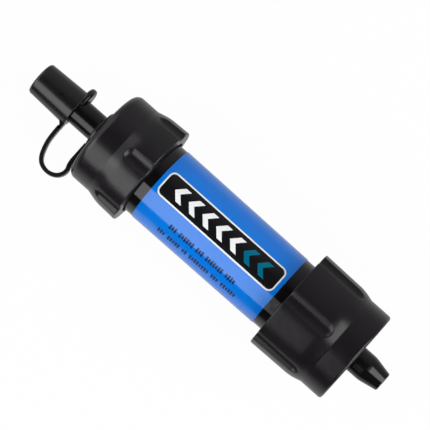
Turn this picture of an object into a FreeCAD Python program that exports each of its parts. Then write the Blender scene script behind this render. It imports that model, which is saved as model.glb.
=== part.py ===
"""Inline hollow-fibre water filter: lobed end caps, a labelled tube, a capped nozzle and a bottle socket.

The filter's axis lies along X. The origin is the centre of the bottle socket's mouth, +X points out
of that mouth, and Z is up with the filter lying on the lobes of its two end caps. Millimetres.
"""
import FreeCAD, Part
import math
import os

from FreeCAD import Vector

# ---------------------------------------------------------------- driving dimensions
# Lengths along the axis
inlet_cap_length = 26.7
outlet_cap_length = 20.2
body_exposed_length = 54.7
nozzle_exposed_length = 9.7
nozzle_cap_length = 15.0
nipple_reach = 10.7
nipple_straight = 4.6
label_length = 47.9
label_inlet_margin = 3.35

# Body tube and label
tube_bore_d = 21.8
tube_inlet_wall = 1.35
tube_outlet_wall = 1.7
label_thickness = 0.15

# End caps
skirt_gap = 0.8
outlet_plain_wall = 2.3
outlet_lobe_rise = 1.3
outlet_plain_length = 8.9
outlet_flare_length = 4.0
outlet_groove_length = 10.6
outlet_skirt_lead = 0.4
outlet_face_rise = 0.8
outlet_face_edge_r = 2.4
outlet_end_wall = 3.0

inlet_skirt_wall = 2.525
inlet_lobe_rise = 1.225
inlet_plain_length = 7.8
inlet_flare_length = 3.4
inlet_groove_length = 18.1
inlet_face_edge_r = 0.9

lobe_draft = 0.25
lobe_count = 6
groove_depth = 1.4
groove_cutter_r = 3.5
groove_edge_r = 0.35
skirt_edge_r = 0.35
skirt_recess = 5.0
cap_rim_r = 0.2
flare_root_r = 1.2
flare_crest_r = 16.0

# Bottle socket: female thread for a 28 mm bottle finish
socket_root_d = 27.9
socket_wall = 1.975
socket_depth = 10.8
socket_lead_in = 0.8
thread_depth = 1.0
thread_pitch = 3.18
thread_crest_width = 0.7
thread_root_width = 1.6
thread_foot_sunk = 0.3
thread_mouth_margin = 1.4
thread_washer_margin = 0.5
seat_rib_thickness = 1.2
seat_rib_ledge = 1.2
washer_thickness = 2.0
washer_slip = 0.15

# Nipple, nozzle and what screws or snaps round them
nipple_d = 8.7
nipple_root_step = 0.5
nipple_root_r = 0.3
nipple_tip_d = 6.2
nipple_bore_d = 4.0
nipple_shoulder_r = 8.0
nipple_tip_edge_r = 0.45
bulkhead_thickness = 2.5
nozzle_d = 8.7
nozzle_bore_d = 5.0
nozzle_engagement = 11.0
nozzle_tip_edge_r = 0.6
nozzle_flange_thickness = 2.0
bead_height = 0.25
bead_width = 0.5
plug_length = 4.0
plug_wall = 2.4

# Nozzle cap
cap_mouth_wall = 1.55
cap_side_wall = 1.0
cap_end_wall = 1.2
cap_end_edge_r = 0.9
cap_mouth_edge_r = 0.25
cap_mouth_lead_in = 0.3
gate_mark_d = 0.9
gate_mark_depth = 0.25
gate_mark_from_end = 9.1
gate_mark_turn = 5.0
ear_reach = 2.2
ear_r = 4.6
ear_thickness = 2.1
ear_overhang = 1.1
ear_edge_r = 0.9
lug_reach = 1.9
lug_thickness = 1.05
lug_flare_r = 1.0
lug_edge_r = 0.25

# Tether
tether_ring_width = 2.0
tether_ring_thickness = 0.95
tether_seat_margin = 0.4
strap_thickness = 0.9
strap_width = 3.2
strap_hold = 0.5
# each bend's share of the way from the cap's face to the lug, and its height above the cap's side
strap_bends = ((-0.033, -5.0), (-0.060, -0.6), (0.20, 3.6), (0.53, 4.5), (0.89, 1.3), (0.98, -4.3))

# Seals
end_seal_cord = 1.5
cartridge_seal_cord = 1.0
seal_groove_extra = 0.4

# Cartridge
sleeve_wall = 0.8
sleeve_head_wall = 1.55
sleeve_head_length = 13.0
potting_length = 10.0
potting_setback = 0.5
window_length = 15.0
window_width = 6.0
window_rows = 3
windows_round = 4
window_gap = 3.0
window_turn = 45.0
window_corner_r = 2.0
baffle_thickness = 1.6
baffle_hole_d = 1.8
baffle_ring_pitch = 3.2
baffle_rings = 2
baffle_holes_first_ring = 6

# Hollow fibres
fibre_d = 1.4
fibre_bore_d = 0.8
fibre_pitch = 1.8
fibre_bundle_slack = 0.35
fibre_end_clearance = 4.0
band_width = 4.0
band_thickness = 0.25
band_from_bend = 6.0

# Clearances
fit_gap = 0.05
seal_gap = 0.02
skin_gap = 0.02
rest_gap = 0.1

# Small roundings, and how far a cutter runs past what it cuts
edge_r = 0.3
fine_edge_r = 0.15
inner_corner_r = 0.4
overshoot = 1.0
# a bend takes this share of the shorter run beside it
bend_share = 0.45

# ---------------------------------------------------------------- places along the axis
x_inlet_mouth = 0.0
x_inlet_skirt = x_inlet_mouth - inlet_cap_length
x_outlet_skirt = x_inlet_skirt - body_exposed_length
x_outlet_face = x_outlet_skirt - outlet_cap_length
x_cap_mouth = x_outlet_face - nozzle_exposed_length
x_cap_end = x_cap_mouth - nozzle_cap_length
x_nozzle_tip = x_cap_mouth - nozzle_engagement
x_outlet_wall = x_outlet_face + outlet_end_wall
x_tube_outlet = x_outlet_wall + nozzle_flange_thickness
x_socket_floor = x_inlet_mouth - socket_depth
x_rib = x_socket_floor - seat_rib_thickness
x_washer_face = x_socket_floor + washer_thickness
x_tube_inlet = x_rib - bulkhead_thickness
x_outlet_plug_end = x_tube_outlet + plug_length
x_inlet_plug_end = x_tube_inlet - plug_length
x_baffle = x_inlet_plug_end - fit_gap - baffle_thickness
x_sleeve_inlet = x_baffle - fit_gap
x_sleeve_outlet = x_outlet_plug_end + fit_gap
x_potting_outlet = x_sleeve_outlet + potting_setback
x_potting_inlet = x_potting_outlet + potting_length
x_label_inlet = x_inlet_skirt - label_inlet_margin
x_label_outlet = x_label_inlet - label_length

tube_bore_r = tube_bore_d / 2
tube_outlet_r = tube_bore_r + tube_outlet_wall
tube_inlet_r = tube_bore_r + tube_inlet_wall
cap_bore_r = tube_outlet_r + skirt_gap
outlet_plain_r = cap_bore_r + outlet_plain_wall
outlet_lobe_r = outlet_plain_r + outlet_lobe_rise
socket_root_r = socket_root_d / 2
socket_crest_r = socket_root_r - thread_depth
inlet_plain_r = max(socket_root_r + socket_wall, cap_bore_r + inlet_skirt_wall)
inlet_lobe_r = inlet_plain_r + inlet_lobe_rise
seat_rib_bore_r = min(socket_root_r, cap_bore_r) - seat_rib_ledge
nozzle_r = nozzle_d / 2
nipple_r = nipple_d / 2
nipple_root_outer_r = nipple_r + nipple_root_step
washer_bore_r = nipple_root_outer_r + washer_slip
nozzle_cap_bore_r = nozzle_r + fit_gap
nozzle_cap_mouth_r = nozzle_cap_bore_r + cap_mouth_wall
nozzle_cap_end_r = nozzle_cap_bore_r + cap_side_wall
tether_ring_r = nozzle_r + fit_gap + tether_ring_width
flange_r = cap_bore_r - fit_gap
plug_r = tube_bore_r - fit_gap
sleeve_r = tube_bore_r - fit_gap
sleeve_head_bore_r = sleeve_r - sleeve_head_wall
cage_r = sleeve_head_bore_r + sleeve_wall
fibre_bundle_r = sleeve_head_bore_r - fibre_bundle_slack

AXIS = Vector(1, 0, 0)
OUT = "parts"
os.makedirs(OUT, exist_ok=True)


# ---------------------------------------------------------------- shaping helpers
def at(x, y, z=0.0):
    return Vector(x, y, z)


def rounded_wire(corners):
    """A closed wire in the XY plane through (x, y, radius) corners, each rounded to its radius."""
    count = len(corners)
    joins = []
    for i in range(count):
        x, y, radius = corners[i]
        corner = at(x, y)
        before = at(*corners[i - 1][:2])
        after = at(*corners[(i + 1) % count][:2])
        if radius <= 0:
            joins.append((corner, None, corner))
            continue
        back = (before - corner).normalize()
        ahead = (after - corner).normalize()
        half = back.getAngle(ahead) / 2
        reach = radius / math.tan(half)
        bisector = (back + ahead).normalize()
        centre = corner + bisector * (radius / math.sin(half))
        middle = centre - bisector * radius
        joins.append((corner + back * reach, middle, corner + ahead * reach))
    edges = []
    for i in range(count):
        start, middle, end = joins[i]
        following = joins[(i + 1) % count][0]
        if middle is not None:
            edges.append(Part.Arc(start, middle, end).toShape())
        if end.distanceToPoint(following) > 1e-7:
            edges.append(Part.LineSegment(end, following).toShape())
    return Part.Wire(edges)


def turned(corners):
    """A solid of revolution about the axis from (x, radius from the axis, corner radius) points."""
    return Part.Face(rounded_wire(corners)).revolve(Vector(0, 0, 0), AXIS, 360)


def rod(x_low, x_high, radius, y=0.0, z=0.0):
    return Part.makeCylinder(radius, x_high - x_low, at(x_low, y, z), AXIS)


def ring(x_low, x_high, inner_r, outer_r):
    return rod(x_low, x_high, outer_r).cut(rod(x_low, x_high, inner_r))


def turned_about_axis(shape, degrees):
    copy = shape.copy()
    copy.rotate(Vector(0, 0, 0), AXIS, degrees)
    return copy


def seal(x_centre, cord, bore_r):
    """An O-ring whose outside bears on a bore of that radius."""
    major = bore_r - seal_gap - cord / 2
    return Part.makeTorus(major, cord / 2, at(x_centre, 0), AXIS)


def seal_groove(x_centre, cord, bore_r, outer_r):
    """The ring to cut from a plug so that the O-ring sits in it."""
    floor_r = bore_r - 2 * seal_gap - cord
    half = (cord + seal_groove_extra) / 2
    return ring(x_centre - half, x_centre + half, floor_r, outer_r + overshoot)


def tube_outer_r(x):
    """The drafted tube's outside radius at a place between the two skirts."""
    share = (x - x_outlet_skirt) / (x_inlet_skirt - x_outlet_skirt)
    return tube_outlet_r + share * (tube_inlet_r - tube_outlet_r)


def save(name, shape):
    solids = shape.Solids
    body = solids[0] if len(solids) == 1 else Part.makeCompound(solids)
    body.exportStep(os.path.join(OUT, name + ".step"))
    volume = sum(s.Volume for s in solids)
    valid = all(s.isValid() for s in solids)
    print(f"{name}: {len(solids)} solid(s), {volume:.1f} mm3, valid {valid}")


# ---------------------------------------------------------------- end caps
def groove_cutter(x_skirt, length, inward, floor_r):
    """A finger groove along the skirt with a round end. inward is +1 or -1, from skirt to face."""
    centre_r = floor_r + groove_cutter_r
    x_ball = x_skirt + inward * (length - groove_cutter_r)
    x_open = x_skirt - inward * overshoot
    finger = rod(min(x_ball, x_open), max(x_ball, x_open), groove_cutter_r, 0, centre_r)
    ball = Part.makeSphere(groove_cutter_r, at(x_ball, 0, centre_r))
    return finger.fuse(ball).removeSplitter()


def groove_rims(shape, x_skirt, length, inward, floor_r):
    """The edges along and round the ends of the grooves, where they leave the lobes."""
    x_far = x_skirt + inward * length
    x_low, x_high = min(x_far, x_skirt) - edge_r, max(x_far, x_skirt) + edge_r
    rims = []
    for edge in shape.Edges:
        box = edge.BoundBox
        along_groove = box.XLength > overshoot and box.XMin > x_low and box.XMax < x_high
        if not along_groove or isinstance(edge.Curve, Part.Circle):
            continue
        middle = edge.valueAt((edge.FirstParameter + edge.LastParameter) / 2)
        if math.hypot(middle.y, middle.z) > floor_r + groove_edge_r:
            rims.append(edge)
    return rims


def lobed(blank, x_skirt, length, inward, lobe_r):
    """Cuts the finger grooves round a turned cap and eases their rims."""
    floor_r = lobe_r - groove_depth
    cutter = groove_cutter(x_skirt, length, inward, floor_r)
    for i in range(lobe_count):
        blank = blank.cut(turned_about_axis(cutter, i * 360.0 / lobe_count))
    return blank.makeFillet(groove_edge_r, groove_rims(blank, x_skirt, length, inward, floor_r))


def outlet_cap():
    """Cup over the tube's outlet end. Its end wall is coned round the flat that the tether ring turns
    on, and its skirt's end slopes so that the inner edge leads."""
    hole_r = nozzle_r + fit_gap
    x_flare = x_outlet_face + outlet_plain_length
    x_crest = x_flare + outlet_flare_length
    blank = turned([
        (x_outlet_face, hole_r, cap_rim_r),
        (x_outlet_face, tether_ring_r + tether_seat_margin, 0),
        (x_outlet_face + outlet_face_rise, outlet_plain_r, outlet_face_edge_r),
        (x_flare, outlet_plain_r, flare_root_r),
        (x_crest, outlet_lobe_r - lobe_draft, flare_crest_r),
        (x_outlet_skirt, outlet_lobe_r, skirt_edge_r),
        (x_outlet_skirt + outlet_skirt_lead, cap_bore_r, cap_rim_r),
        (x_outlet_wall, cap_bore_r, 0),
        (x_outlet_wall, hole_r, 0),
    ])
    return lobed(blank, x_outlet_skirt, outlet_groove_length, -1, outlet_lobe_r)


def socket_thread():
    """One helical ridge on the socket's wall, its foot sunk a little into the wall."""
    x_low = x_washer_face + thread_washer_margin + thread_root_width / 2
    x_high = x_inlet_mouth - thread_mouth_margin - thread_root_width / 2
    root_r, crest_r = socket_root_r, socket_crest_r
    helix = Part.makeHelix(thread_pitch, x_high - x_low, root_r)
    half_root, half_crest = thread_root_width / 2, thread_crest_width / 2
    outline = [
        Vector(root_r + thread_foot_sunk, 0, -half_root),
        Vector(root_r, 0, -half_root),
        Vector(crest_r, 0, -half_crest),
        Vector(crest_r, 0, half_crest),
        Vector(root_r, 0, half_root),
        Vector(root_r + thread_foot_sunk, 0, half_root),
    ]
    profile = Part.makePolygon(outline + outline[:1])
    ridge = Part.Wire(helix.Edges).makePipeShell([profile], True, True)
    ridge.rotate(Vector(0, 0, 0), Vector(0, 1, 0), 90)
    ridge.translate(Vector(x_low, 0, 0))
    return ridge


def inlet_cap():
    """Sleeve over the tube's inlet end that goes on as a threaded bottle socket."""
    x_flare = x_inlet_mouth - inlet_plain_length
    x_crest = x_flare - inlet_flare_length
    blank = turned([
        (x_inlet_mouth, socket_root_r + socket_lead_in, 0),
        (x_inlet_mouth, inlet_plain_r, inlet_face_edge_r),
        (x_flare, inlet_plain_r, flare_root_r),
        (x_crest, inlet_lobe_r - lobe_draft, flare_crest_r),
        (x_inlet_skirt, inlet_lobe_r, skirt_edge_r),
        (x_inlet_skirt, cap_bore_r, cap_rim_r),
        (x_rib, cap_bore_r, 0),
        (x_rib, seat_rib_bore_r, 0),
        (x_socket_floor, seat_rib_bore_r, 0),
        (x_socket_floor, socket_root_r, 0),
        (x_inlet_mouth - socket_lead_in, socket_root_r, 0),
    ])
    return lobed(blank, x_inlet_skirt, inlet_groove_length, 1, inlet_lobe_r).fuse(socket_thread())


# ---------------------------------------------------------------- tube and label
def body_tube():
    """Drafted housing tube with a collar inside each end cap."""
    collar_r = cap_bore_r - fit_gap
    return turned([
        (x_tube_outlet, tube_bore_r, edge_r),
        (x_tube_outlet, collar_r, edge_r),
        (x_outlet_skirt - skirt_recess, collar_r, 0),
        (x_outlet_skirt - skirt_recess, tube_outlet_r, 0),
        (x_outlet_skirt, tube_outlet_r, 0),
        (x_inlet_skirt, tube_inlet_r, 0),
        (x_inlet_skirt + skirt_recess, tube_inlet_r, 0),
        (x_inlet_skirt + skirt_recess, collar_r, 0),
        (x_tube_inlet, collar_r, edge_r),
        (x_tube_inlet, tube_bore_r, edge_r),
    ])


def label_sleeve():
    """Printed film wrapped round the tube between the end caps."""
    inner_outlet = tube_outer_r(x_label_outlet) + skin_gap
    inner_inlet = tube_outer_r(x_label_inlet) + skin_gap
    return turned([
        (x_label_outlet, inner_outlet, 0),
        (x_label_outlet, inner_outlet + label_thickness, 0),
        (x_label_inlet, inner_inlet + label_thickness, 0),
        (x_label_inlet, inner_inlet, 0),
    ])


# ---------------------------------------------------------------- nozzle and nipple
def outlet_nozzle():
    """Drinking nozzle on a flange, with a plug into the tube and a bead that keeps the tether ring."""
    bore_r = nozzle_bore_d / 2
    x_bead = x_outlet_face - rest_gap - tether_ring_thickness - rest_gap
    x_seal = (x_tube_outlet + x_outlet_plug_end) / 2
    shape = turned([
        (x_nozzle_tip, bore_r, edge_r),
        (x_nozzle_tip, nozzle_r, nozzle_tip_edge_r),
        (x_bead - bead_width, nozzle_r, 0),
        (x_bead - bead_width / 2, nozzle_r + bead_height, fine_edge_r),
        (x_bead, nozzle_r, 0),
        (x_outlet_wall, nozzle_r, 0),
        (x_outlet_wall, flange_r, edge_r),
        (x_tube_outlet, flange_r, edge_r),
        (x_tube_outlet, plug_r, 0),
        (x_outlet_plug_end, plug_r, edge_r),
        (x_outlet_plug_end, plug_r - plug_wall, edge_r),
        (x_tube_outlet, bore_r, 0),
    ])
    return shape.cut(seal_groove(x_seal, end_seal_cord, tube_bore_r, plug_r))


def inlet_nipple():
    """Bulkhead between tube and socket, with the nipple that a drinking straw pushes on to."""
    bore_r = nipple_bore_d / 2
    boss_r = seat_rib_bore_r - fit_gap
    x_seal = (x_tube_inlet + x_inlet_plug_end) / 2
    shape = turned([
        (x_inlet_plug_end, plug_r - plug_wall, edge_r),
        (x_inlet_plug_end, plug_r, edge_r),
        (x_tube_inlet, plug_r, 0),
        (x_tube_inlet, flange_r, edge_r),
        (x_rib, flange_r, 0),
        (x_rib, boss_r, 0),
        (x_socket_floor, boss_r, 0),
        (x_socket_floor, nipple_root_outer_r, 0),
        (x_washer_face, nipple_root_outer_r, nipple_root_r),
        (x_washer_face, nipple_r, 0),
        (x_inlet_mouth + nipple_straight, nipple_r, nipple_shoulder_r),
        (x_inlet_mouth + nipple_reach, nipple_tip_d / 2, nipple_tip_edge_r),
        (x_inlet_mouth + nipple_reach, bore_r, fine_edge_r),
        (x_tube_inlet, bore_r, 0),
    ])
    return shape.cut(seal_groove(x_seal, end_seal_cord, tube_bore_r, plug_r))


def bottle_washer():
    """Flat washer that a bottle's rim seals on."""
    outer_r = socket_crest_r - fit_gap
    x_back = x_socket_floor + seal_gap
    return turned([
        (x_back, washer_bore_r, 0),
        (x_back, outer_r, 0),
        (x_washer_face, outer_r, edge_r),
        (x_washer_face, washer_bore_r, edge_r),
    ])


# ---------------------------------------------------------------- nozzle cap and tether
def thumb_ear():
    """Round tab to lift the cap by, which overhangs the cap's mouth."""
    x_high = x_cap_mouth + ear_overhang
    ear = rod(x_high - ear_thickness, x_high, ear_r, nozzle_cap_mouth_r + ear_reach - ear_r)
    return ear.makeFillet(ear_edge_r, [e for e in ear.Edges if isinstance(e.Curve, Part.Circle)])


def strap_lug():
    """Stub that the strap grows from, flared where it leaves the cap's side."""
    mouth_r = nozzle_cap_mouth_r
    x_back = x_cap_mouth - lug_thickness
    root = mouth_r - lug_edge_r
    outline = rounded_wire([
        (x_cap_mouth, -root, 0),
        (x_back - lug_flare_r, -root, 0),
        (x_back, -(root + lug_flare_r), lug_flare_r),
        (x_back, -(mouth_r + lug_reach), lug_edge_r),
        (x_cap_mouth, -(mouth_r + lug_reach), lug_edge_r),
    ])
    lug = Part.Face(outline).extrude(Vector(0, 0, strap_width))
    lug.translate(Vector(0, 0, -strap_width / 2))
    return lug


def nozzle_cap():
    """Push-on cap with a thumb ear on one side and the tether's lug on the other."""
    bore_r = nozzle_cap_bore_r
    shell = turned([
        (x_cap_end, 0, 0),
        (x_cap_end, nozzle_cap_end_r, cap_end_edge_r),
        (x_cap_mouth, nozzle_cap_mouth_r, cap_mouth_edge_r),
        (x_cap_mouth, bore_r + cap_mouth_lead_in, 0),
        (x_cap_mouth - cap_mouth_lead_in, bore_r, 0),
        (x_cap_end + cap_end_wall, bore_r, inner_corner_r),
        (x_cap_end + cap_end_wall, 0, 0),
    ])
    x_mark = x_cap_end + gate_mark_from_end
    share = gate_mark_from_end / nozzle_cap_length
    surface_r = nozzle_cap_end_r + share * (nozzle_cap_mouth_r - nozzle_cap_end_r)
    mark = Part.makeCylinder(gate_mark_d / 2, overshoot, at(x_mark, 0, surface_r - gate_mark_depth))
    shell = shell.cut(turned_about_axis(mark, -gate_mark_turn))
    keep = rod(x_cap_end, x_cap_mouth + ear_overhang + overshoot, bore_r + cap_mouth_lead_in)
    return shell.fuse(thumb_ear().fuse(strap_lug()).cut(keep))


def strap_route():
    """The strap's centre line in the XY plane: over the cap's face, out in a loop, to the lug."""
    x_face = x_outlet_face - rest_gap - strap_thickness / 2
    x_lug = x_cap_mouth - lug_thickness / 2
    span = x_lug - x_face
    bends = [(x_face + share * span, -(outlet_plain_r + height)) for share, height in strap_bends]
    start = (x_face, -(tether_ring_r - strap_hold))
    end = (x_lug, -(nozzle_cap_mouth_r + lug_reach + rest_gap))
    return [start] + bends + [end]


def strap_outline(route, side):
    """One side of the strap: the route offset by half its thickness, its bends rounded."""
    half = strap_thickness / 2 * side
    points = [at(*p) for p in route]
    ends = []
    for i in range(len(points) - 1):
        along = (points[i + 1] - points[i]).normalize()
        across = Vector(-along.y, along.x, 0) * half
        ends.append((points[i] + across, points[i + 1] + across, along))
    line = [ends[0][0]]
    for first, second in zip(ends, ends[1:]):
        turn = first[2].getAngle(second[2])
        bisector = (second[2] - first[2]).normalize()
        normal = Vector(-first[2].y, first[2].x, 0)
        sign = 1 if bisector.dot(normal) > 0 else -1
        corner = first[1] + first[2] * (-sign * half * math.tan(turn / 2))
        line.append(corner)
    line.append(ends[-1][1])
    return line


def bend_radii(route):
    """Each bend's radius on the centre line: as large as its two runs allow."""
    points = [at(*p) for p in route]
    radii = []
    for before, corner, after in zip(points, points[1:], points[2:]):
        turn = (corner - before).getAngle(after - corner)
        shorter = min((corner - before).Length, (after - corner).Length)
        radii.append(bend_share * shorter / math.tan(turn / 2))
    return radii


def tether_strap():
    """Flat strap in a loop between the tether ring and the cap's lug."""
    route = strap_route()
    radii = bend_radii(route)
    left = strap_outline(route, 1)
    right = strap_outline(route, -1)
    points = [at(*p) for p in route]
    corners = [(left[0].x, left[0].y, 0)]
    for i, radius in enumerate(radii):
        turn = (points[i + 1] - points[i]).cross(points[i + 2] - points[i + 1]).z
        grow = -1 if turn > 0 else 1
        corners.append((left[i + 1].x, left[i + 1].y, radius + grow * strap_thickness / 2))
    corners.append((left[-1].x, left[-1].y, 0))
    corners.append((right[-1].x, right[-1].y, 0))
    for i in reversed(range(len(radii))):
        turn = (points[i + 1] - points[i]).cross(points[i + 2] - points[i + 1]).z
        grow = 1 if turn > 0 else -1
        corners.append((right[i + 1].x, right[i + 1].y, radii[i] + grow * strap_thickness / 2))
    corners.append((right[0].x, right[0].y, 0))
    face = Part.Face(rounded_wire(corners))
    face.translate(Vector(0, 0, -strap_width / 2))
    strap = face.extrude(Vector(0, 0, strap_width))
    clear_low = x_outlet_face - rest_gap - strap_thickness - overshoot
    return strap.cut(rod(clear_low, x_outlet_face, tether_ring_r + seal_gap))


def tether_ring():
    """Flat ring round the nozzle's foot, behind the bead, free to turn."""
    x_near = x_outlet_face - rest_gap
    return turned([
        (x_near - tether_ring_thickness, nozzle_r + fit_gap, fine_edge_r),
        (x_near - tether_ring_thickness, tether_ring_r, edge_r),
        (x_near, tether_ring_r, edge_r),
        (x_near, nozzle_r + fit_gap, fine_edge_r),
    ])


# ---------------------------------------------------------------- filter cartridge
def cartridge_sleeve():
    """Windowed cage round the fibres, with a stout head that holds the potting."""
    x_head = x_sleeve_outlet + sleeve_head_length
    x_seal = x_potting_outlet + potting_length / 2
    shape = turned([
        (x_sleeve_outlet, sleeve_head_bore_r, fine_edge_r),
        (x_sleeve_outlet, sleeve_r, fine_edge_r),
        (x_head, sleeve_r, fine_edge_r),
        (x_head, cage_r, 0),
        (x_sleeve_inlet, cage_r, fine_edge_r),
        (x_sleeve_inlet, sleeve_head_bore_r, fine_edge_r),
    ])
    shape = shape.cut(seal_groove(x_seal, cartridge_seal_cord, tube_bore_r, sleeve_r))
    for row in range(window_rows):
        x_window = x_head + window_gap + row * (window_length + window_gap)
        slot = Part.makeBox(window_length, window_width, cage_r + overshoot,
                            at(x_window, -window_width / 2, 0))
        corners = [e for e in slot.Edges if e.BoundBox.ZLength > cage_r]
        slot = slot.makeFillet(window_corner_r, corners)
        for i in range(windows_round):
            shape = shape.cut(turned_about_axis(slot, window_turn + i * 360.0 / windows_round))
    return shape


def fibre_loops():
    """(y, half width) of each U-shaped fibre: rows of nested loops that fill the bundle's circle."""
    loops = []
    limit = fibre_bundle_r - fibre_d / 2
    rows = int(limit / fibre_pitch) + 1
    for row in range(-rows, rows):
        y = (row + 0.5) * fibre_pitch
        for nest in range(rows):
            half = (nest + 0.5) * fibre_pitch
            if math.hypot(y, half) <= limit:
                loops.append((y, half))
    return loops


def bend_place():
    """Where the fibres' straight legs end and their bends begin."""
    return x_sleeve_inlet - fibre_end_clearance - fibre_bundle_r


def fibre_bundle():
    """Hollow U-shaped fibres, both ends of each at the potting."""
    x_bend = bend_place()
    x_end = x_potting_inlet + seal_gap
    fibres = []
    for y, half in fibre_loops():
        path = Part.Wire([
            Part.LineSegment(at(x_end, y, half), at(x_bend, y, half)).toShape(),
            Part.Arc(at(x_bend, y, half), at(x_bend + half, y, 0), at(x_bend, y, -half)).toShape(),
            Part.LineSegment(at(x_bend, y, -half), at(x_end, y, -half)).toShape(),
        ])
        walls = []
        for radius in (fibre_d / 2, fibre_bore_d / 2):
            circle = Part.makeCircle(radius, at(x_end, y, half), AXIS)
            walls.append(path.makePipeShell([Part.Wire([circle])], True, False))
        fibres.append(walls[0].cut(walls[1]))
    return Part.makeCompound(fibres)


def potting_plug():
    """Resin disc that seals round the fibres and leaves their bores open to the outlet."""
    disc = rod(x_potting_outlet, x_potting_inlet, sleeve_head_bore_r - seal_gap)
    bores = []
    for y, half in fibre_loops():
        for z in (half, -half):
            bores.append(rod(x_potting_outlet - overshoot, x_potting_inlet + overshoot,
                             fibre_bore_d / 2, y, z))
    return disc.cut(Part.makeCompound(bores))


def bundle_band():
    """Soft band that gathers the loops."""
    x_low = bend_place() - band_from_bend - band_width
    inner = fibre_bundle_r + seal_gap
    return ring(x_low, x_low + band_width, inner, inner + band_thickness)


def inlet_baffle():
    """Perforated disc that spreads the incoming water and holds the cartridge up to its seat."""
    x_far = x_baffle + baffle_thickness
    disc = rod(x_baffle, x_far, tube_bore_r - fit_gap)
    hole_r = baffle_hole_d / 2
    holes = [rod(x_baffle - overshoot, x_far + overshoot, hole_r)]
    for circle in range(1, baffle_rings + 1):
        around = baffle_holes_first_ring * circle
        for i in range(around):
            turn = math.radians(i * 360.0 / around)
            y = circle * baffle_ring_pitch * math.cos(turn)
            z = circle * baffle_ring_pitch * math.sin(turn)
            holes.append(rod(x_baffle - overshoot, x_far + overshoot, hole_r, y, z))
    return disc.cut(Part.makeCompound(holes))


def build():
    x_outlet_seal = (x_tube_outlet + x_outlet_plug_end) / 2
    x_inlet_seal = (x_tube_inlet + x_inlet_plug_end) / 2
    x_cartridge_seal = x_potting_outlet + potting_length / 2
    save("body_tube", body_tube())
    save("label_sleeve", label_sleeve())
    save("outlet_cap", outlet_cap())
    save("inlet_cap", inlet_cap())
    save("outlet_nozzle", outlet_nozzle())
    save("inlet_nipple", inlet_nipple())
    save("bottle_washer", bottle_washer())
    save("nozzle_cap", nozzle_cap())
    save("tether_strap", tether_strap())
    save("tether_ring", tether_ring())
    save("outlet_o_ring", seal(x_outlet_seal, end_seal_cord, tube_bore_r))
    save("inlet_o_ring", seal(x_inlet_seal, end_seal_cord, tube_bore_r))
    save("cartridge_o_ring", seal(x_cartridge_seal, cartridge_seal_cord, tube_bore_r))
    save("cartridge_sleeve", cartridge_sleeve())
    save("potting_plug", potting_plug())
    save("fibre_bundle", fibre_bundle())
    save("bundle_band", bundle_band())
    save("inlet_baffle", inlet_baffle())


build()
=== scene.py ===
"""Looks for the inline hollow-fibre water filter: finishes, printed label, moulded tether and the stage."""

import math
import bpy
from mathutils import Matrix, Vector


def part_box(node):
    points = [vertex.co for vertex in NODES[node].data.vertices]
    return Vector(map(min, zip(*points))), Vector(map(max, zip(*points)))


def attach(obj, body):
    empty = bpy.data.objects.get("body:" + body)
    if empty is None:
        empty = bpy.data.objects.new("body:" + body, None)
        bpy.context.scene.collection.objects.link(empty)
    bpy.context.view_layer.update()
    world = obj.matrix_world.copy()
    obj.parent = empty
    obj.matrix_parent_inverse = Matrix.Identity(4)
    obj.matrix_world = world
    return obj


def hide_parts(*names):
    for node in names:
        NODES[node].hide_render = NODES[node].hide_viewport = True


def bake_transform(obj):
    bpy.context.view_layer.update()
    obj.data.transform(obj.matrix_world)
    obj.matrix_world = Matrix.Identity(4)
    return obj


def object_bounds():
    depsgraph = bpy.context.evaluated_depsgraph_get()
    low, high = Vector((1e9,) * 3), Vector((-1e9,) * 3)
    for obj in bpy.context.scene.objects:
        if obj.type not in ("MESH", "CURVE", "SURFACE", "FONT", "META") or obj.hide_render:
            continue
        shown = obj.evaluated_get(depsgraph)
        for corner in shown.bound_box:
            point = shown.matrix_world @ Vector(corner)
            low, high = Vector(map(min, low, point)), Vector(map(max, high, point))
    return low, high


bl_info = {
    "name": "Inline Water Filter",
    "version": (1, 0, 0),
    "blender": (4, 5, 0),
    "location": "View3D > Sidebar > Water Filter",
    "description": "Finishes an inline squeeze water filter, prints its label and sets its stage",
    "category": "Object",
}

from contextlib import contextmanager
from typing import NamedTuple

import bpy
from bpy.props import FloatProperty, FloatVectorProperty, IntProperty, PointerProperty
from mathutils import Matrix, Vector

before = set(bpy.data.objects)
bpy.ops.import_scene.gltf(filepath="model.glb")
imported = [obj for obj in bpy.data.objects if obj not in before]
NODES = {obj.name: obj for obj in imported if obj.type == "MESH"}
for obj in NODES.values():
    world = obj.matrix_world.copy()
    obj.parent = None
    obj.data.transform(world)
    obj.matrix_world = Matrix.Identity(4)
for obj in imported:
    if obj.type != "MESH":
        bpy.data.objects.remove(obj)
CAD_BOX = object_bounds()
MM = 0.001

LABEL_LOW, LABEL_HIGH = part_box("label_sleeve")
LABEL_MIDDLE = (LABEL_LOW.x + LABEL_HIGH.x) / 2
RING_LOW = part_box("tether_ring")[0]
CAP_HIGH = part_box("nozzle_cap")[1]
OUTLET_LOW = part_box("outlet_cap")[0]

SMOOTH_ANGLE = math.radians(35.0)

# How strongly each moulding mirrors what is round it. The two end caps are one plastic; the inlet cap's lower
# IOR is painted shade, so that it mirrors less and reads darker than the outlet cap.
PLASTIC_IOR = 1.5
OUTLET_CAP_IOR = 1.48
INLET_CAP_SHADED_IOR = 1.42
CLOSURE_IOR = 1.55

# Most of a noise's values lie between these two.
NOISE_LOW, NOISE_HIGH = 0.3, 0.7

# The label's print. A lift counts layers of ink above the film, and dullness multiplies the film's roughness.
STRIP_WIDTH = 0.35 * MM
BAR_CORNER = 2.0 * MM
CORNER_STEPS = 8
SMALL_PRINT_LIFT, KEYLINE_LIFT, BAR_LIFT, ARROW_LIFT = 1.0, 1.0, 2.5, 4.0
INK_DULLNESS = 1.6
SMALL_PRINT_DULLNESS = 1.8

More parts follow.
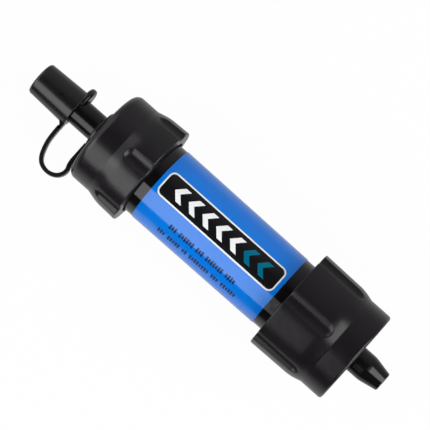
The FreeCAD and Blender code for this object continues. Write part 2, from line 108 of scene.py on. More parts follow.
# Each row of small print: its turn from the top of the tube, and the marks in each of its words.
SMALL_PRINT = (
    (math.radians(37.0), (4, 7, 3, 6, 3)),
    (math.radians(56.0), (6, 3, 8, 2, 5, 3)),
)
SHORT_MARK_EVERY = 3
SHORT_MARK_SHARE = 0.78

# The strap's way. Each point of its loop is in millimetres: along from its line on the outlet cap's face, and
# across from the axis. Its last points stand on its line beside the nozzle cap's ear.
STRAP_OFF_FACE = 0.06 * MM
STRAP_RING_LAP = 0.6 * MM
EAR_OVERHANG = 1.1 * MM
STRAP_LOOP = (
    (0.0, -10.0),
    (0.0, -13.4),
    (1.1, -15.9),
    (-0.3, -18.8),
    (-3.7, -19.95),
    (-7.4, -18.6),
    (-9.3, -13.5),
)
STRAP_LUG_YS = (-9.5, -7.0)
STRAP_CURVE_ORDER = 3
STRAP_CURVE_STEPS = 10
STRAP_EDGE_STEPS = 3

# The floor: its grey under the lamps, and how much of its glow each kind of ray sees in its place. The glow
# is plain white, but in a gloss it is a painted light pool.
FLOOR_SIZE = 8.0
FLOOR_DROP = 0.02 * MM
FLOOR_GREY = 0.75
FLOOR_GLOW = (("Is Camera Ray", 0.97), ("Is Glossy Ray", 1.0), ("Is Transmission Ray", 0.8))

# Painted light and shade on the floor: how bright a gloss sees the floor, at places across the filter's axis.
PAINTED_POOL_REACH = 150.0 * MM
PAINTED_POOL_LEVELS = ((-130.0 * MM, 0.06), (-50.0 * MM, 0.7), (0.0, 0.6), (50.0 * MM, 0.5), (110.0 * MM, 0.38))

# The room is dim but for its far side. It brightens between these two cosines to that side.
ROOM_FAR_SIDE = (-0.34, 0.94, 0.0)
ROOM_FADE = (0.25, 0.95)
ROOM_NEAR_LEVEL = 0.03

WHITE = (1.0, 1.0, 1.0, 1.0)
CAMERA_NEAR = 0.01

# How far each lamp stands from what it lights.
LAMP_REACH = 0.9


# ---------------------------------------------------------------- what a user would change
def colour_setting(name, description, default):
    return FloatVectorProperty(
        name=name, description=description, subtype="COLOR", size=3, min=0.0, max=1.0, default=default
    )


def length_setting(name, description, default):
    return FloatProperty(name=name, description=description, default=default, min=0.0, unit="LENGTH")


def share_setting(name, description, default):
    return FloatProperty(
        name=name, description=description, default=default, min=0.0, max=1.0, subtype="FACTOR"
    )


def place_setting(name, description, default):
    return FloatProperty(name=name, description=description, default=default, unit="LENGTH")


def angle_setting(name, description, degrees):
    return FloatProperty(name=name, description=description, default=math.radians(degrees), subtype="ANGLE")


def power_setting(name, description, default):
    return FloatProperty(name=name, description=description, default=default, min=0.0)


class FilterFinishes(bpy.types.PropertyGroup):
    """Colours and gloss of the filter's materials."""

    cap_colour: colour_setting("Cap colour", "Satin plastic of the two end caps", (0.0082, 0.0064, 0.0082))
    tube_colour: colour_setting("Tube colour", "Glossy plastic of the tube", (0.0035, 0.0033, 0.0036))
    spout_colour: colour_setting("Spout colour", "Plastic of nozzle and nipple", (0.0032, 0.0030, 0.0034))
    closure_colour: colour_setting("Closure colour", "Soft plastic of the closure", (0.0068, 0.0058, 0.0064))
    rubber_colour: colour_setting("Rubber colour", "Seals and the bottle washer", (0.012, 0.012, 0.013))
    label_colour: colour_setting("Label colour", "Blue ink of the label film", (0.0, 0.18, 0.72))
    bar_colour: colour_setting("Bar colour", "Black ink of the flow bar", (0.006, 0.006, 0.007))
    keyline_colour: colour_setting("Keyline colour", "White ink of keyline and arrows", (0.86, 0.87, 0.88))
    accent_colour: colour_setting("Accent colour", "Teal ink of the inlet arrows", (0.0, 0.13, 0.22))
    print_colour: colour_setting("Fine print colour", "Dark blue ink of the small print", (0.0, 0.02, 0.11))
    cage_colour: colour_setting("Cage colour", "Milky plastic of the cartridge", (0.72, 0.73, 0.72))
    resin_colour: colour_setting("Resin colour", "Potting resin", (0.62, 0.52, 0.32))
    fibre_colour: colour_setting("Fibre colour", "Hollow membrane fibres", (0.82, 0.82, 0.80))
    band_colour: colour_setting("Band colour", "Film band round the fibres", (0.55, 0.60, 0.64))
    cap_roughness: share_setting("Cap roughness", "Satin of the end caps", 0.25)
    tube_roughness: share_setting("Tube roughness", "Gloss of the tube", 0.09)
    spout_roughness: share_setting("Spout roughness", "Gloss of nozzle and nipple", 0.18)
    closure_roughness: share_setting("Closure roughness", "Sheen of the soft closure", 0.26)
    rubber_roughness: share_setting("Rubber roughness", "Dullness of the seals", 0.62)
    film_roughness: share_setting("Film roughness", "Gloss of the label film", 0.10)


class LabelSizes(bpy.types.PropertyGroup):
    """Sizes of what is printed on the label."""

    bar_length: length_setting("Bar length", "Length of the flow bar along the tube", 45.2 * MM)
    bar_width: length_setting("Bar width", "Width of the flow bar round the tube", 8.6 * MM)
    bar_turn: angle_setting("Bar turn", "Turn of the bar from the top of the tube", -6.0)
    keyline: length_setting("Keyline", "Width of the white line round the bar", 0.5 * MM)
    ink: length_setting("Ink thickness", "Thickness of one layer of ink", 0.012 * MM)
    arrow_count: IntProperty(name="Arrows", description="Flow arrows on the bar", default=7, min=1)
    accent_count: IntProperty(
        name="Accent arrows", description="Teal arrows at the inlet's end of the bar", default=2, min=0
    )
    arrow_pitch: length_setting("Arrow pitch", "Distance between two arrows", 5.4 * MM)
    arrow_height: length_setting("Arrow height", "Width of an arrow round the tube", 5.0 * MM)
    arrow_reach: length_setting("Arrow reach", "How far an arrow's point stands ahead of its ends", 2.3 * MM)
    arrow_stroke: length_setting("Arrow stroke", "Length of an arrow's stroke along the tube", 2.1 * MM)
    mark_pitch: length_setting("Mark pitch", "Distance between two marks of a row", 0.95 * MM)
    mark_width: length_setting("Mark width", "Width of a mark along the tube", 0.66 * MM)
    mark_height: length_setting("Mark height", "Height of a mark round the tube", 1.9 * MM)


class StrapSizes(bpy.types.PropertyGroup):
    """Sizes of the moulded strap."""

    thickness: length_setting("Thickness", "Thickness of the strap", 1.3 * MM)
    width: length_setting("Width", "Width of the strap", 3.2 * MM)
    edge: length_setting("Edge", "Rounding of the strap's edges", 0.2 * MM)


class StageSettings(bpy.types.PropertyGroup):
    """Camera and lights."""

    lens: FloatProperty(name="Lens", description="Focal length in millimetres", default=216.0, min=1.0)
    distance: length_setting("Distance", "Distance from camera to the filter", 0.769)
    lean: angle_setting("Lean", "Camera's lean toward the inlet", 4.0)
    roll: angle_setting("Roll", "Camera's turn about the filter's axis", 2.0)
    spin: angle_setting("Spin", "Turn of the filter's axis in the view", 41.66)
    aim_x: place_setting("Aim X", "Where the camera aims, along the axis", -59.6 * MM)
    aim_y: place_setting("Aim Y", "Where the camera aims, across the axis", 4.0 * MM)
    key_power: power_setting("Key power", "Power of the long softbox in watts", 9.0)
    inlet_power: power_setting("Inlet power", "Power of the inlet panel in watts", 3.4)
    inlet_end_power: power_setting("Inlet end power", "Power of the panel past the inlet in watts", 8.6)
    outlet_end_power: power_setting("Outlet end power", "Power of the panel past the outlet in watts", 3.6)
    world_level: share_setting("World level", "Brightness of the room's far side", 0.38)


SETTINGS = {
    "filter_finishes": FilterFinishes,
    "filter_label": LabelSizes,
    "filter_strap": StrapSizes,
    "filter_stage": StageSettings,
}


# ---------------------------------------------------------------- shading helpers
def add_node(tree, kind, values=None, **settings):
    """A new shader node, with its settings and the values of its own sockets."""
    made = tree.nodes.new("ShaderNode" + kind)
    for key, setting in settings.items():
        setattr(made, key, setting)
    for key, value in (values or {}).items():
        made.inputs[key].default_value = value
    return made


class Waves(NamedTuple):
    """Noise over a piece: its scale per metre, its detail and roughness, and its scale along each axis."""

    scale: float
    detail: float
    roughness: float = 0.5
    stretch: tuple = None


class Recipe:
    """A material's node tree, with short calls that make it vary over a piece."""

    def __init__(self, name, colour, roughness, sockets):
        self.material = bpy.data.materials.new(name)
        self.material.use_nodes = True
        self.tree = self.material.node_tree
        self.shader = self.tree.nodes["Principled BSDF"]
        for key, value in {"Base Color": (*colour, 1.0), "Roughness": roughness, **sockets}.items():
            self.shader.inputs[key].default_value = value
        self.place = add_node(self.tree, "TexCoord").outputs["Object"]
        self.last_normal = None

    def join(self, source, target):
        self.tree.links.new(source, target)

    def noise(self, waves):
        place = self.place
        if waves.stretch:
            mapping = add_node(self.tree, "Mapping", {"Scale": waves.stretch})
            self.join(place, mapping.inputs["Vector"])
            place = mapping.outputs["Vector"]
        values = {"Scale": waves.scale, "Detail": waves.detail, "Roughness": waves.roughness}
        made = add_node(self.tree, "TexNoise", values)
        self.join(place, made.inputs["Vector"])
        return made.outputs["Fac"]

    def between(self, waves, low, high):
        values = {"From Min": NOISE_LOW, "From Max": NOISE_HIGH, "To Min": low, "To Max": high}
        made = add_node(self.tree, "MapRange", values)
        self.join(self.noise(waves), made.inputs["Value"])
        return made.outputs["Result"]

    def vary_colour(self, waves, first, second):
        mix = add_node(self.tree, "Mix", {"A": (*first, 1.0), "B": (*second, 1.0)}, data_type="RGBA")
        self.join(self.between(waves, 0.0, 1.0), mix.inputs["Factor"])
        self.join(mix.outputs["Result"], self.shader.inputs["Base Color"])

    def vary_roughness(self, waves, low, high):
        self.join(self.between(waves, low, high), self.shader.inputs["Roughness"])

    def add_relief(self, waves, depth):
        made = add_node(self.tree, "Bump", {"Strength": 1.0, "Distance": depth})
        self.join(self.noise(waves), made.inputs["Height"])
        if self.last_normal:
            self.join(self.last_normal, made.inputs["Normal"])
        self.last_normal = made.outputs["Normal"]
        self.join(self.last_normal, self.shader.inputs["Normal"])


def scaled(colour, share):
    return tuple(min(1.0, c * share) for c in colour)


def varied_material(name, colour, roughness, tint, tints, gloss, glosses, relief, **sockets):
    """A material whose colour and roughness vary between two shares of their own value, with fine relief."""
    recipe = Recipe(name, colour, roughness, {key.replace("_", " "): value for key, value in sockets.items()})
    recipe.vary_colour(tint, *(scaled(colour, share) for share in tints))
    recipe.vary_roughness(gloss, *(roughness * share for share in glosses))
    for waves, depth in relief:
        recipe.add_relief(waves, depth)
    return recipe.material


def moulded_plastic(name, colour, roughness, grain_depth, flow_depth, ior=PLASTIC_IOR):
    """Moulded plastic: fine tool grain, slow waves of shrinkage and a slightly uneven gloss."""
    return varied_material(
        name, colour, roughness, IOR=ior,
        tint=Waves(scale=90.0, detail=4.0), tints=(0.85, 1.2),
        gloss=Waves(scale=420.0, detail=5.0, roughness=0.65, stretch=(0.35, 1.0, 1.0)), glosses=(0.88, 1.14),
        relief=((Waves(scale=3200.0, detail=2.0), grain_depth), (Waves(scale=120.0, detail=2.0), flow_depth)),
    )


def rubber(name, colour, roughness):
    """Dull moulded rubber with a fine matt grain and a trace of talc."""
    return varied_material(
        name, colour, roughness,
        tint=Waves(scale=700.0, detail=6.0, roughness=0.7), tints=(0.8, 1.9),
        gloss=Waves(scale=500.0, detail=3.0), glosses=(0.9, 1.1),
        relief=((Waves(scale=5200.0, detail=3.0), 0.010 * MM),),
    )


def printed_ink(name, colour, roughness):
    """Ink on the film: an even coat with a little screen-print speckle."""
    return varied_material(
        name, colour, roughness,
        tint=Waves(scale=6000.0, detail=3.0), tints=(0.9, 1.06),
        gloss=Waves(scale=260.0, detail=3.0), glosses=(0.85, 1.25),
        relief=((Waves(scale=170.0, detail=2.0), 0.02 * MM),),
    )


def film(name, colour, roughness):
    """Glossy label film, pulled tight but a little wavy."""
    return varied_material(
        name, colour, roughness, Coat_Weight=0.25, Coat_Roughness=0.05,
        tint=Waves(scale=2600.0, detail=4.0), tints=(0.94, 1.05),
        gloss=Waves(scale=240.0, detail=4.0), glosses=(0.8, 1.3),
        relief=((Waves(scale=170.0, detail=2.0, stretch=(0.5, 1.0, 1.0)), 0.03 * MM),),
    )


def cloudy_polymer(name, colour, roughness, scatter):
    """Milky polymer: light passes a little way into it."""
    return varied_material(
        name, colour, roughness,
        Subsurface_Weight=scatter, Subsurface_Radius=(1.0, 0.8, 0.6), Subsurface_Scale=0.6 * MM,
        tint=Waves(scale=300.0, detail=4.0), tints=(0.93, 1.05),
        gloss=Waves(scale=500.0, detail=3.0), glosses=(0.85, 1.15),
        relief=((Waves(scale=2400.0, detail=2.0), 0.006 * MM),),
    )


def dress(material, *names):
    """Gives CAD nodes their material."""
    for name in names:
        node = NODES[name]
        node.data.materials.clear()
        node.data.materials.append(material)


# ---------------------------------------------------------------- modelling helpers
def start_clean():
    """Object mode with nothing selected, because an operator acts on all that is."""
    if bpy.context.object and bpy.context.object.mode != "OBJECT":
        bpy.ops.object.mode_set(mode="OBJECT")
    bpy.ops.object.select_all(action="DESELECT")


def only(piece):
    start_clean()
    piece.select_set(True)
    bpy.context.view_layer.objects.active = piece


@contextmanager
def edit_mode():
    """Edit mode with the whole mesh selected, and object mode again after it."""
    bpy.ops.object.mode_set(mode="EDIT")
    bpy.ops.mesh.select_all(action="SELECT")
    yield
    bpy.ops.object.mode_set(mode="OBJECT")


def settle(piece):
    """Bakes the piece's place into its mesh."""
    only(piece)
    bpy.ops.object.transform_apply(location=True, rotation=True, scale=True)


def apply_modifier(piece, kind, **settings):
    only(piece)
    modifier = piece.modifiers.new(kind.lower(), kind)
    for key, value in settings.items():
        setattr(modifier, key, value)
    bpy.ops.object.modifier_apply(modifier=modifier.name)


def finish_piece(piece, material, body):
    """Smooths a finished piece and gives it its material, body and slot."""
    only(piece)
    bpy.ops.object.shade_smooth_by_angle(angle=SMOOTH_ANGLE)
    piece.data.materials.clear()
    piece.data.materials.append(material)
    if body:
        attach(piece, body)


# ---------------------------------------------------------------- label print
def flat_plate(name, x_centre, length, width):
    """A flat plate over the top of the tube."""
    start_clean()
    bpy.ops.mesh.primitive_plane_add(size=1.0, location=(x_centre, 0, LABEL_HIGH.z + MM))
    plate = bpy.context.object
    plate.name = name
    plate.scale = (length, width, 1.0)
    settle(plate)
    return plate


def rounded_plate(name, length, width, corner):
    """A flat plate over the label's middle, its corners rounded."""
    plate = flat_plate(name, LABEL_MIDDLE, length, width)
    with edit_mode():
        bpy.ops.mesh.bevel(offset=corner, segments=CORNER_STEPS, affect="VERTICES")
    return plate


def arrow_plate(name, x_tip, height, reach, stroke):
    """A chevron whose point faces the outlet: a plate cut along its middle, and the cut drawn forward."""
    plate = flat_plate(name, x_tip + reach + stroke / 2, stroke, height)
    with edit_mode():
        bpy.ops.mesh.bisect(plane_co=(0, 0, 0), plane_no=(0, 1, 0))
        bpy.ops.transform.translate(value=(-reach, 0, 0))
    return plate


def slice_across(plate, step):
    """Cuts a flat plate into strips so that it can bend round the tube."""
    only(plate)
    low = min(v.co.y for v in plate.data.vertices)
    high = max(v.co.y for v in plate.data.vertices)
    count = int((high - low) / step)
    with edit_mode():
        for i in range(1, count + 1):
            bpy.ops.mesh.select_all(action="SELECT")
            bpy.ops.mesh.bisect(plane_co=(0, low + i * (high - low) / (count + 1), 0), plane_no=(0, 1, 0))


def wrap(plate, lift, ink, turn):
    """Lays a flat plate on the label, gives it its thickness and turns it round the tube."""
    slice_across(plate, STRIP_WIDTH)
    apply_modifier(
        plate, "SHRINKWRAP", target=NODES["label_sleeve"], wrap_method="PROJECT", use_project_z=True,
        use_negative_direction=True, use_positive_direction=False, offset=lift * ink,
    )
    apply_modifier(plate, "SOLIDIFY", thickness=ink, offset=1.0)
    only(plate)
    with edit_mode():
        bpy.ops.mesh.normals_make_consistent(inside=False)
    plate.rotation_euler = (turn, 0, 0)
    settle(plate)
    return plate


def merged(name, plates):
    start_clean()
    for plate in plates:
        plate.select_set(True)
    bpy.context.view_layer.objects.active = plates[0]
    if len(plates) > 1:
        bpy.ops.object.join()
    bpy.context.object.name = name
    return bpy.context.object


class FILTER_OT_label(bpy.types.Operator):
    """Finishes the label film and prints the flow bar and the rows of small print on it"""

    bl_idname = "filter.label"
    bl_label = "Label"

    def execute(self, context):
        looks, sizes = context.scene.filter_finishes, context.scene.filter_label
        dress(film("label film", looks.label_colour, looks.film_roughness), "label_sleeve")
        dull = looks.film_roughness * INK_DULLNESS
        white = printed_ink("white ink", looks.keyline_colour, dull)
        black = printed_ink("black ink", looks.bar_colour, dull)
        teal = printed_ink("teal ink", looks.accent_colour, dull)
        dark_blue = printed_ink(
            "blue-black ink", looks.print_colour, looks.film_roughness * SMALL_PRINT_DULLNESS
        )
        self.bar(sizes, white, black)
        self.arrows(sizes, white, teal)
        self.small_print(sizes, dark_blue)
        return {"FINISHED"}

    def bar(self, sizes, white, black):
        """The flow bar on its keyline, which shows all round it."""
        layers = (("flow_keyline", 0.0, KEYLINE_LIFT, white), ("flow_bar", sizes.keyline, BAR_LIFT, black))
        for name, inset, lift, ink in layers:
            plate = rounded_plate(
                name, sizes.bar_length - 2 * inset, sizes.bar_width - 2 * inset, BAR_CORNER - inset
            )
            finish_piece(wrap(plate, lift, sizes.ink, sizes.bar_turn), ink, "filter_body")

    def arrows(self, sizes, white, teal):
        """The row of flow arrows, the last ones in the accent's ink."""
        span = (sizes.arrow_count - 1) * sizes.arrow_pitch
        first = LABEL_MIDDLE - span / 2 - (sizes.arrow_stroke + sizes.arrow_reach) / 2
        plates = []
        for i in range(sizes.arrow_count):
            plate = arrow_plate(
                "arrow", first + i * sizes.arrow_pitch, sizes.arrow_height, sizes.arrow_reach,
                sizes.arrow_stroke,
            )
            plates.append(wrap(plate, ARROW_LIFT, sizes.ink, sizes.bar_turn))
        split = max(0, sizes.arrow_count - sizes.accent_count)
        for name, group, ink in (("keyline", plates[:split], white), ("accent", plates[split:], teal)):
            if group:
                finish_piece(merged("flow_arrows_" + name, group), ink, "filter_body")

    def small_print(self, sizes, dark_blue):
        """Rows of bare marks beside the bar, in groups like words of small print."""
        for number, (turn, words) in enumerate(SMALL_PRINT):
            places, x = [], 0.0
            for marks in words:
                places += [x + i * sizes.mark_pitch for i in range(marks)]
                x += (marks + 1) * sizes.mark_pitch
            start = LABEL_MIDDLE + places[-1] / 2
            plates = []
            for i, place in enumerate(places):
                tall = sizes.mark_height * (1.0 if i % SHORT_MARK_EVERY else SHORT_MARK_SHARE)
                plates.append(flat_plate("mark", start - place, sizes.mark_width, tall))
            row = merged(f"small_print_{number + 1}", plates)
            wrap(row, SMALL_PRINT_LIFT, sizes.ink, turn)
            finish_piece(row, dark_blue, "filter_body")


# ---------------------------------------------------------------- finishes of the solid parts
class FILTER_OT_housing(bpy.types.Operator):
    """Finishes the housing tube and the two end caps"""

    bl_idname = "filter.housing"
    bl_label = "Housing"

    def execute(self, context):
        looks = context.scene.filter_finishes
        # One plastic for both caps; the inlet's copy mirrors less, as painted shade.
        for name, end, ior in (("outlet plastic", "outlet_cap", OUTLET_CAP_IOR),
                               ("inlet plastic shaded copy", "inlet_cap", INLET_CAP_SHADED_IOR)):
            plastic = moulded_plastic(
                name, looks.cap_colour, looks.cap_roughness, grain_depth=0.006 * MM,
                flow_depth=0.05 * MM, ior=ior,
            )
            dress(plastic, end)
        tube = moulded_plastic(
            "tube plastic", looks.tube_colour, looks.tube_roughness, grain_depth=0.001 * MM,
            flow_depth=0.03 * MM,
        )
        dress(tube, "body_tube")
        return {"FINISHED"}


class FILTER_OT_spouts(bpy.types.Operator):
    """Finishes the drinking nozzle and the inlet nipple"""

    bl_idname = "filter.spouts"
    bl_label = "Nozzle and nipple"

    def execute(self, context):
        looks = context.scene.filter_finishes
        spout = moulded_plastic(
            "spout plastic", looks.spout_colour, looks.spout_roughness, grain_depth=0.002 * MM,
            flow_depth=0.02 * MM,
        )
        dress(spout, "outlet_nozzle", "inlet_nipple")
        return {"FINISHED"}


class FILTER_OT_closure(bpy.types.Operator):
    """Finishes the nozzle cap and its ring, and models the moulded strap between them"""

    bl_idname = "filter.closure"
    bl_label = "Closure and strap"

    def execute(self, context):
        looks, sizes = context.scene.filter_finishes, context.scene.filter_strap
        soft = moulded_plastic(
            "closure plastic", looks.closure_colour, looks.closure_roughness, grain_depth=0.003 * MM,
            flow_depth=0.03 * MM, ior=CLOSURE_IOR,
        )
        dress(soft, "nozzle_cap", "tether_ring")
        route = self.route(sizes.thickness)
        strap = self.strap(route, sizes)
        finish_piece(strap, soft, None)
        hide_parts("tether_strap")
        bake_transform(strap)
        return {"FINISHED"}

    def route(self, thickness):
        """The strap's middle line: down the outlet cap's face, round its loop and up to the nozzle cap."""
        x_face = OUTLET_LOW.x - STRAP_OFF_FACE - thickness / 2
        x_lug = CAP_HIGH.x - EAR_OVERHANG - thickness / 2
        foot = [Vector((x_face, RING_LOW.y + STRAP_RING_LAP, 0))]
        loop = [Vector((x_face + x * MM, y * MM, 0)) for x, y in STRAP_LOOP]
        lug = [Vector((x_lug, y * MM, 0)) for y in STRAP_LUG_YS]
        return foot + loop + lug

    def strap(self, route, sizes):
        """A flat strap on one smooth curve, its edges rounded as it leaves the mould."""
        start_clean()
        bpy.ops.curve.primitive_nurbs_path_add(location=(0, 0, 0))
        path = bpy.context.object
        path.name = "tether_strap_moulded"
        spline = path.data.splines[0]
        spline.points.add(len(route) - len(spline.points))
        for point, place in zip(spline.points, route):
            point.co = (*place, 1.0)
        spline.order_u = STRAP_CURVE_ORDER
        spline.use_endpoint_u = True
        spline.resolution_u = STRAP_CURVE_STEPS
        only(path)
        bpy.ops.object.convert(target="MESH")
        strap = bpy.context.object
        with edit_mode():
            bpy.ops.transform.translate(value=(0, 0, -sizes.width / 2))
            bpy.ops.mesh.extrude_edges_move(TRANSFORM_OT_translate={"value": (0, 0, sizes.width)})
            bpy.ops.mesh.select_all(action="SELECT")
            bpy.ops.mesh.normals_make_consistent(inside=False)
        apply_modifier(strap, "SOLIDIFY", thickness=sizes.thickness, offset=0.0, use_even_offset=True)
        apply_modifier(strap, "BEVEL", width=sizes.edge, segments=STRAP_EDGE_STEPS, limit_method="ANGLE")
        return strap


class FILTER_OT_seals(bpy.types.Operator):
    """Finishes the O-rings and the bottle washer"""

    bl_idname = "filter.seals"
    bl_label = "Seals"

    def execute(self, context):
        looks = context.scene.filter_finishes
        seal = rubber("seal rubber", looks.rubber_colour, looks.rubber_roughness)
        dress(seal, "bottle_washer", "outlet_o_ring", "inlet_o_ring", "cartridge_o_ring")
        return {"FINISHED"}


class FILTER_OT_cartridge(bpy.types.Operator):
    """Finishes the fibre cartridge inside the tube"""

    bl_idname = "filter.cartridge"
    bl_label = "Cartridge"

    def execute(self, context):
        looks = context.scene.filter_finishes
        cage = cloudy_polymer("cage plastic", looks.cage_colour, roughness=0.4, scatter=0.15)
        resin = cloudy_polymer("potting resin", looks.resin_colour, roughness=0.22, scatter=0.35)
        fibre = cloudy_polymer("fibre polymer", looks.fibre_colour, roughness=0.7, scatter=0.3)
        band = cloudy_polymer("band film", looks.band_colour, roughness=0.3, scatter=0.1)
        dress(cage, "cartridge_sleeve", "inlet_baffle")
        dress(resin, "potting_plug")
        dress(fibre, "fibre_bundle")
        dress(band, "bundle_band")
        return {"FINISHED"}


# ---------------------------------------------------------------- stage
def stand(thing, place, right, up, back):
    """Puts a lamp or a camera at its place, with its own axes along three directions."""
    thing.matrix_world = Matrix.Translation(place) @ Matrix((right, up, back)).transposed().to_4x4()


def panel_light(name, aim_x, lean, side, size, power):
    """A soft panel that faces the axis at aim_x, tipped in degrees: lean to the inlet, side to +Y."""
    lean, side = math.radians(lean), math.radians(side)
    aim = (aim_x, 0, 0)
    place = (
        aim_x + LAMP_REACH * math.sin(lean),
        LAMP_REACH * math.cos(lean) * math.sin(side),
        LAMP_REACH * math.cos(lean) * math.cos(side),
    )
    start_clean()
    bpy.ops.object.light_add(type="AREA", location=place)
    lamp = bpy.context.object
    lamp.name = name
    lamp.data.shape = "RECTANGLE"
    lamp.data.size, lamp.data.size_y = size
    lamp.data.energy = power
    toward = (Vector(aim) - Vector(place)).normalized()
    right = Vector((1, 0, 0)) - toward * toward.x
    right.normalize()
    back = -toward
    stand(lamp, place, right, back.cross(right), back)


class FILTER_OT_stage(bpy.types.Operator):
    """Sets the floor, the room, the lights and the camera"""

    bl_idname = "filter.stage"
    bl_label = "Stage"

    def execute(self, context):
        settings = context.scene.filter_stage
        self.floor(CAD_BOX[0])
        self.room(context.scene, settings)
        self.lights(settings)
        self.camera(context.scene, settings)
        context.scene.view_settings.view_transform = "Standard"
        return {"FINISHED"}

    def seen_directly(self, tree, path):
        """How much of the floor's own glow a ray sees: most for the camera, all in a gloss, where the glow is
        the painted light pool.
        """
        most = None
        for ray, share in FLOOR_GLOW:
            weigh = add_node(tree, "Math", {1: share}, operation="MULTIPLY")
            tree.links.new(path.outputs[ray], weigh.inputs[0])
            if most is None:
                most = weigh.outputs[0]
                continue
            larger = add_node(tree, "Math", operation="MAXIMUM")
            tree.links.new(most, larger.inputs[0])
            tree.links.new(weigh.outputs[0], larger.inputs[1])
            most = larger.outputs[0]
        return most

    def pool(self, tree, path):
        """White under the camera. In a gloss the floor shows a painted light pool instead: painted shade
        darkens it away from the filter, as under soft lamps.
        """
        place = add_node(tree, "TexCoord")
        split = add_node(tree, "SeparateXYZ")
        tree.links.new(place.outputs["Object"], split.inputs[0])
        share = add_node(tree, "MapRange", {"From Min": -PAINTED_POOL_REACH, "From Max": PAINTED_POOL_REACH})
        tree.links.new(split.outputs["Y"], share.inputs["Value"])
        ramp = add_node(tree, "ValToRGB")
        stops = ramp.color_ramp.elements
        for i, (y, grey) in enumerate(PAINTED_POOL_LEVELS):
            if i >= len(stops):
                stops.new(1.0)
            stops[i].position = 0.5 + 0.5 * y / PAINTED_POOL_REACH
            stops[i].color = (grey, grey, grey, 1.0)
        tree.links.new(share.outputs["Result"], ramp.inputs["Fac"])
        # Painted light pool: glossy rays see the ramp's painted levels in place of white.
        mix = add_node(tree, "Mix", {"A": WHITE}, data_type="RGBA")
        tree.links.new(path.outputs["Is Glossy Ray"], mix.inputs["Factor"])
        tree.links.new(ramp.outputs["Color"], mix.inputs["B"])
        return mix.outputs["Result"]

    def floor(self, low):
        """The white surface that the filter lies on, just under its lowest point."""
        start_clean()
        bpy.ops.mesh.primitive_plane_add(size=FLOOR_SIZE, location=(0, 0, low[2] - FLOOR_DROP))
        ground = bpy.context.object
        ground.name = "floor"
        material = bpy.data.materials.new("white floor")
        material.use_nodes = True
        tree = material.node_tree
        tree.nodes.clear()
        output = add_node(tree, "OutputMaterial")
        diffuse = add_node(tree, "BsdfDiffuse", {"Color": (FLOOR_GREY, FLOOR_GREY, FLOOR_GREY, 1.0)})
        glow = add_node(tree, "Emission")
        mix = add_node(tree, "MixShader")
        path = add_node(tree, "LightPath")
        tree.links.new(self.pool(tree, path), glow.inputs["Color"])
        tree.links.new(self.seen_directly(tree, path), mix.inputs["Fac"])
        tree.links.new(diffuse.outputs[0], mix.inputs[1])
        tree.links.new(glow.outputs[0], mix.inputs[2])
        tree.links.new(mix.outputs[0], output.inputs["Surface"])
        ground.data.materials.append(material)

    def room(self, scene, settings):
        """White behind the filter, and for its gloss a room that is pale on one side only."""
        world = bpy.data.worlds.new("pale room")
        scene.world = world
        world.use_nodes = True
        tree = world.node_tree
        background = tree.nodes["Background"]
        direction = add_node(tree, "TexCoord")
        toward = add_node(tree, "VectorMath", {1: ROOM_FAR_SIDE}, operation="DOT_PRODUCT")
        tree.links.new(direction.outputs["Generated"], toward.inputs[0])
        level = add_node(tree, "MapRange", {
            "From Min": ROOM_FADE[0],
            "From Max": ROOM_FADE[1],
            "To Min": ROOM_NEAR_LEVEL,
            "To Max": settings.world_level,
        })
        tree.links.new(toward.outputs["Value"], level.inputs["Value"])
        path = add_node(tree, "LightPath")
        mix = add_node(tree, "Mix", {"B": 1.0}, data_type="FLOAT")
        tree.links.new(path.outputs["Is Camera Ray"], mix.inputs["Factor"])
        tree.links.new(level.outputs["Result"], mix.inputs["A"])
        tree.links.new(mix.outputs["Result"], background.inputs["Strength"])
        background.inputs["Color"].default_value = WHITE

    def lights(self, settings):
        """A long softbox beside the filter, a panel over the inlet and a low panel past each end."""
        panel_light(
            "key_softbox", aim_x=-0.83, lean=0.0, side=-49.0, size=(1.56, 0.75), power=settings.key_power
        )
        panel_light(
            "inlet_panel", aim_x=0.0, lean=33.0, side=15.0, size=(0.38, 0.80), power=settings.inlet_power
        )
        panel_light(
            "inlet_end_panel", aim_x=settings.aim_x, lean=66.0, side=0.0, size=(0.38, 1.4),
            power=settings.inlet_end_power,
        )
        panel_light(
            "outlet_end_panel", aim_x=settings.aim_x, lean=-60.0, side=0.0, size=(0.95, 1.4),
            power=settings.outlet_end_power,
        )

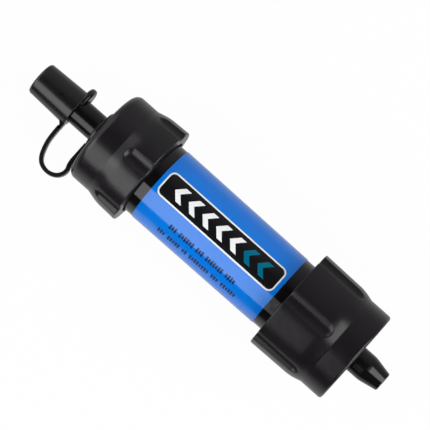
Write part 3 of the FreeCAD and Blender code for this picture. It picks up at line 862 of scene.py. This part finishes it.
    def camera(self, scene, settings):
        """Looks down on the filter, nearly square to its axis, with the axis turned in the view."""
        lean, spin = settings.lean, settings.spin
        along = Vector((math.cos(lean), 0, -math.sin(lean)))
        toward = Vector((math.sin(lean), 0, math.cos(lean)))
        roll = Matrix.Rotation(settings.roll, 3, "X")
        along, across, toward = roll @ along, roll @ Vector((0, 1, 0)), roll @ toward
        right = math.cos(spin) * along + math.sin(spin) * across
        up = -math.sin(spin) * along + math.cos(spin) * across
        aim = Vector((settings.aim_x, settings.aim_y, 0))
        start_clean()
        bpy.ops.object.camera_add(location=aim)
        camera = bpy.context.object
        camera.name = "camera"
        camera.data.lens = settings.lens
        camera.data.clip_start = CAMERA_NEAR
        stand(camera, aim + toward * settings.distance, right, up, toward)
        scene.camera = camera


class FILTER_PT_panel(bpy.types.Panel):
    """Lists the filter's sizes, colours and steps in the sidebar"""

    bl_idname = "FILTER_PT_panel"
    bl_label = "Water Filter"
    bl_space_type = "VIEW_3D"
    bl_region_type = "UI"
    bl_category = "Water Filter"

    def draw(self, context):
        for name in SETTINGS:
            box = self.layout.box()
            group = getattr(context.scene, name)
            for key in group.__annotations__:
                box.prop(group, key)
        for step in STEPS:
            self.layout.operator(step.bl_idname)


STEPS = (
    FILTER_OT_stage,
    FILTER_OT_housing,
    FILTER_OT_spouts,
    FILTER_OT_closure,
    FILTER_OT_seals,
    FILTER_OT_cartridge,
    FILTER_OT_label,
)


def register():
    for name, group in SETTINGS.items():
        bpy.utils.register_class(group)
        setattr(bpy.types.Scene, name, PointerProperty(type=group))
    for step in STEPS:
        bpy.utils.register_class(step)
    bpy.utils.register_class(FILTER_PT_panel)


def unregister():
    bpy.utils.unregister_class(FILTER_PT_panel)
    for step in reversed(STEPS):
        bpy.utils.unregister_class(step)
    for name, group in reversed(list(SETTINGS.items())):
        delattr(bpy.types.Scene, name)
        bpy.utils.unregister_class(group)


def main():
    register()
    bpy.ops.filter.stage()
    bpy.ops.filter.housing()
    bpy.ops.filter.spouts()
    bpy.ops.filter.closure()
    bpy.ops.filter.seals()
    bpy.ops.filter.cartridge()
    bpy.ops.filter.label()


if __name__ == "__main__":
    main()
